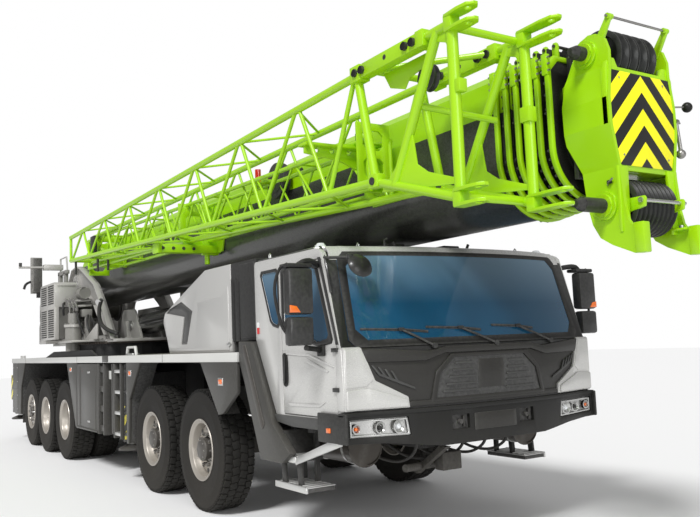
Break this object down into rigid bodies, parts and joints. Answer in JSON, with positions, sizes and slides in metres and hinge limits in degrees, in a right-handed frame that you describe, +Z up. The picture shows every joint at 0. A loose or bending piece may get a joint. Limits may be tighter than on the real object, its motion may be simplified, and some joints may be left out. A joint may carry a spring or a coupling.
{
  "type": "truck-mounted telescopic crane",
  "caption": "Truck-mounted telescopic crane with outriggers, slewing upper structure, luffing telescopic boom and a lattice jib stowed beside it.",
  "frame": {"origin": "on the ground under the middle of the machine's overall box", "axes": "+X forward along the vehicle, +Y to its left, +Z up"},
  "size_m": [15.6462, 3.6, 3.9618],
  "materials": {
    "body_white": "gloss",
    "deck_grey": "satin",
    "chassis_black": "satin",
    "dark_panel": "satin",
    "window_glass": "gloss",
    "tyre_rubber": "matte",
    "steel": "satin",
    "boom_dark": "satin",
    "boom_green": "gloss"
  },
  "bodies": {
    "carrier": {"chassis_frame": "chassis_black", "deck": "deck_grey", "engine_block": "dark_panel", "engine_housing": "body_white", "carrier_cab": "body_white", "windshield": "window_glass", "boom_rest": "dark_panel", "grille_panel": "dark_panel", "bumper": "chassis_black", "cab_interior": "dark_panel", "axle_1": "chassis_black", "axle_2": "chassis_black", "axle_3": "chassis_black", "axle_4": "chassis_black", "axle_5": "chassis_black"},
    "door_right": {"door_right": "body_white", "door_glass_right": "window_glass"},
    "door_left": {"door_left": "body_white", "door_glass_left": "window_glass"},
    "knuckle_1_right": {"knuckle_1_right": "chassis_black"},
    "knuckle_1_left": {"knuckle_1_left": "chassis_black"},
    "knuckle_2_right": {"knuckle_2_right": "chassis_black"},
    "knuckle_2_left": {"knuckle_2_left": "chassis_black"},
    "wheel_1_right": {"wheel_1_right": "tyre_rubber"},
    "wheel_1_left": {"wheel_1_left": "tyre_rubber"},
    "wheel_2_right": {"wheel_2_right": "tyre_rubber"},
    "wheel_2_left": {"wheel_2_left": "tyre_rubber"},
    "wheel_3_right": {"wheel_3_right": "tyre_rubber"},
    "wheel_3_left": {"wheel_3_left": "tyre_rubber"},
    "wheel_4_right": {"wheel_4_right": "tyre_rubber"},
    "wheel_4_left": {"wheel_4_left": "tyre_rubber"},
    "wheel_5_right": {"wheel_5_right": "tyre_rubber"},
    "wheel_5_left": {"wheel_5_left": "tyre_rubber"},
    "outrigger_front_right": {"outrigger_front_right": "dark_panel"},
    "jack_front_right": {"jack_front_right": "steel"},
    "outrigger_front_left": {"outrigger_front_left": "dark_panel"},
    "jack_front_left": {"jack_front_left": "steel"},
    "outrigger_rear_right": {"outrigger_rear_right": "dark_panel"},
    "jack_rear_right": {"jack_rear_right": "steel"},
    "outrigger_rear_left": {"outrigger_rear_left": "dark_panel"},
    "jack_rear_left": {"jack_rear_left": "steel"},
    "turntable": {"turntable": "body_white", "counterweight": "body_white", "operator_cab": "body_white"},
    "operator_cab_door": {"operator_cab_door": "body_white"},
    "winch_drum": {"winch_drum": "dark_panel"},
    "luff_barrel": {"luff_barrel": "boom_dark"},
    "luff_rod": {"luff_rod": "steel"},
    "boom_base": {"boom_base": "boom_green", "jib": "boom_green"},
    "boom_section_2": {"boom_section_2": "boom_green"},
    "boom_section_3": {"boom_section_3": "boom_green"},
    "boom_section_4": {"boom_section_4": "boom_green"},
    "boom_section_5": {"boom_section_5": "boom_green"},
    "boom_section_6": {"boom_section_6": "boom_green"},
    "boom_head": {"boom_head": "boom_green"},
    "sheaves_upper": {"sheaves_upper": "boom_dark"},
    "sheaves_lower": {"sheaves_lower": "boom_dark"}
  },
  "joints": [
    {"name": "door_right_hinge", "type": "hinge", "parent": "carrier", "child": "door_right", "pos_m": [5.675, -1.436, 1.3], "axis": [0, 0, 1], "range_deg": [0, 68]},
    {"name": "door_left_hinge", "type": "hinge", "parent": "carrier", "child": "door_left", "pos_m": [5.675, 1.436, 1.3], "axis": [0, 0, -1], "range_deg": [0, 68]},
    {"name": "steer_1_right", "type": "hinge", "parent": "carrier", "child": "knuckle_1_right", "pos_m": [2.79, -1, 0.65187], "axis": [0, 0, 1], "range_deg": [-35, 35]},
    {"name": "steer_1_left", "type": "hinge", "parent": "carrier", "child": "knuckle_1_left", "pos_m": [2.79, 1, 0.65187], "axis": [0, 0, 1], "range_deg": [-35, 35]},
    {"name": "steer_2_right", "type": "hinge", "parent": "carrier", "child": "knuckle_2_right", "pos_m": [1.212, -1, 0.65187], "axis": [0, 0, 1], "range_deg": [-26.25, 26.25]},
    {"name": "steer_2_left", "type": "hinge", "parent": "carrier", "child": "knuckle_2_left", "pos_m": [1.212, 1, 0.65187], "axis": [0, 0, 1], "range_deg": [-26.25, 26.25]},
    {"name": "roll_1_right", "type": "hinge", "parent": "knuckle_1_right", "child": "wheel_1_right", "pos_m": [2.79, -1.2725, 0.65187], "axis": [0, 1, 0], "continuous": true},
    {"name": "roll_1_left", "type": "hinge", "parent": "knuckle_1_left", "child": "wheel_1_left", "pos_m": [2.79, 1.2725, 0.65187], "axis": [0, 1, 0], "continuous": true},
    {"name": "roll_2_right", "type": "hinge", "parent": "knuckle_2_right", "child": "wheel_2_right", "pos_m": [1.212, -1.2725, 0.65187], "axis": [0, 1, 0], "continuous": true},
    {"name": "roll_2_left", "type": "hinge", "parent": "knuckle_2_left", "child": "wheel_2_left", "pos_m": [1.212, 1.2725, 0.65187], "axis": [0, 1, 0], "continuous": true},
    {"name": "roll_3_right", "type": "hinge", "parent": "carrier", "child": "wheel_3_right", "pos_m": [-3.04, -1.1025, 0.65187], "axis": [0, 1, 0], "continuous": true},
    {"name": "roll_3_left", "type": "hinge", "parent": "carrier", "child": "wheel_3_left", "pos_m": [-3.04, 1.1025, 0.65187], "axis": [0, 1, 0], "continuous": true},
    {"name": "roll_4_right", "type": "hinge", "parent": "carrier", "child": "wheel_4_right", "pos_m": [-4.44, -1.1025, 0.65187], "axis": [0, 1, 0], "continuous": true},
    {"name": "roll_4_left", "type": "hinge", "parent": "carrier", "child": "wheel_4_left", "pos_m": [-4.44, 1.1025, 0.65187], "axis": [0, 1, 0], "continuous": true},
    {"name": "roll_5_right", "type": "hinge", "parent": "carrier", "child": "wheel_5_right", "pos_m": [-5.853, -1.2725, 0.65187], "axis": [0, 1, 0], "continuous": true},
    {"name": "roll_5_left", "type": "hinge", "parent": "carrier", "child": "wheel_5_left", "pos_m": [-5.853, 1.2725, 0.65187], "axis": [0, 1, 0], "continuous": true},
    {"name": "beam_front_right", "type": "slide", "parent": "carrier", "child": "outrigger_front_right", "axis": [0, -1, 0], "range_m": [0, 1.85]},
    {"name": "foot_front_right", "type": "slide", "parent": "outrigger_front_right", "child": "jack_front_right", "axis": [0, 0, -1], "range_m": [0, 0.6]},
    {"name": "beam_front_left", "type": "slide", "parent": "carrier", "child": "outrigger_front_left", "axis": [0, 1, 0], "range_m": [0, 1.85]},
    {"name": "foot_front_left", "type": "slide", "parent": "outrigger_front_left", "child": "jack_front_left", "axis": [0, 0, -1], "range_m": [0, 0.6]},
    {"name": "beam_rear_right", "type": "slide", "parent": "carrier", "child": "outrigger_rear_right", "axis": [0, -1, 0], "range_m": [0, 1.85]},
    {"name": "foot_rear_right", "type": "slide", "parent": "outrigger_rear_right", "child": "jack_rear_right", "axis": [0, 0, -1], "range_m": [0, 0.6]},
    {"name": "beam_rear_left", "type": "slide", "parent": "carrier", "child": "outrigger_rear_left", "axis": [0, 1, 0], "range_m": [0, 1.85]},
    {"name": "foot_rear_left", "type": "slide", "parent": "outrigger_rear_left", "child": "jack_rear_left", "axis": [0, 0, -1], "range_m": [0, 0.6]},
    {"name": "slew", "type": "hinge", "parent": "carrier", "child": "turntable", "pos_m": [-4.11, 0, 1.9], "axis": [0, 0, 1], "continuous": true},
    {"name": "operator_door_slide", "type": "slide", "parent": "turntable", "child": "operator_cab_door", "axis": [-1, 0, 0], "range_m": [0, 0.65]},
    {"name": "winch_spin", "type": "hinge", "parent": "turntable", "child": "winch_drum", "pos_m": [-6.46, 0, 2.75], "axis": [0, 1, 0], "continuous": true},
    {"name": "luff", "type": "hinge", "parent": "turntable", "child": "boom_base", "pos_m": [-5.51, 0, 3.1], "axis": [0, -1, 0], "range_deg": [0, 80]},
    {"name": "luff_barrel_hinge", "type": "hinge", "parent": "turntable", "child": "luff_barrel", "pos_m": [-3.41, 0, 2.22], "axis": [0, -1, 0], "range_deg": [0, 91]},
    {"name": "luff_rod_slide", "type": "slide", "parent": "luff_barrel", "child": "luff_rod", "axis": [0.9992, 0, 0.04], "range_m": [0, 2.8]},
    {"name": "telescope_2", "type": "slide", "parent": "boom_base", "child": "boom_section_2", "axis": [1, 0, 0], "range_m": [0, 9.2]},
    {"name": "telescope_3", "type": "slide", "parent": "boom_section_2", "child": "boom_section_3", "axis": [1, 0, 0], "range_m": [0, 9.2]},
    {"name": "telescope_4", "type": "slide", "parent": "boom_section_3", "child": "boom_section_4", "axis": [1, 0, 0], "range_m": [0, 9.2]},
    {"name": "telescope_5", "type": "slide", "parent": "boom_section_4", "child": "boom_section_5", "axis": [1, 0, 0], "range_m": [0, 9.2]},
    {"name": "telescope_6", "type": "slide", "parent": "boom_section_5", "child": "boom_section_6", "axis": [1, 0, 0], "range_m": [0, 9.2]},
    {"name": "telescope_7", "type": "slide", "parent": "boom_section_6", "child": "boom_head", "axis": [1, 0, 0], "range_m": [0, 9.2]},
    {"name": "sheaves_upper_spin", "type": "hinge", "parent": "boom_head", "child": "sheaves_upper", "pos_m": [7.45, 0, 3.73], "axis": [0, 1, 0], "continuous": true},
    {"name": "sheaves_lower_spin", "type": "hinge", "parent": "boom_head", "child": "sheaves_lower", "pos_m": [7.51, 0, 2.62], "axis": [0, 1, 0], "continuous": true}
  ],
  "couplings": [
    {"joint": "steer_1_right", "follows": "steer_1_left", "ratio": 1},
    {"joint": "steer_2_right", "follows": "steer_1_left", "ratio": 0.75},
    {"joint": "steer_2_left", "follows": "steer_1_left", "ratio": 0.75},
    {"joint": "luff_barrel_hinge", "follows": "luff", "ratio": 1.1315},
    {"joint": "luff_rod_slide", "follows": "luff", "m_per_rad": 1.9819}
  ]
}
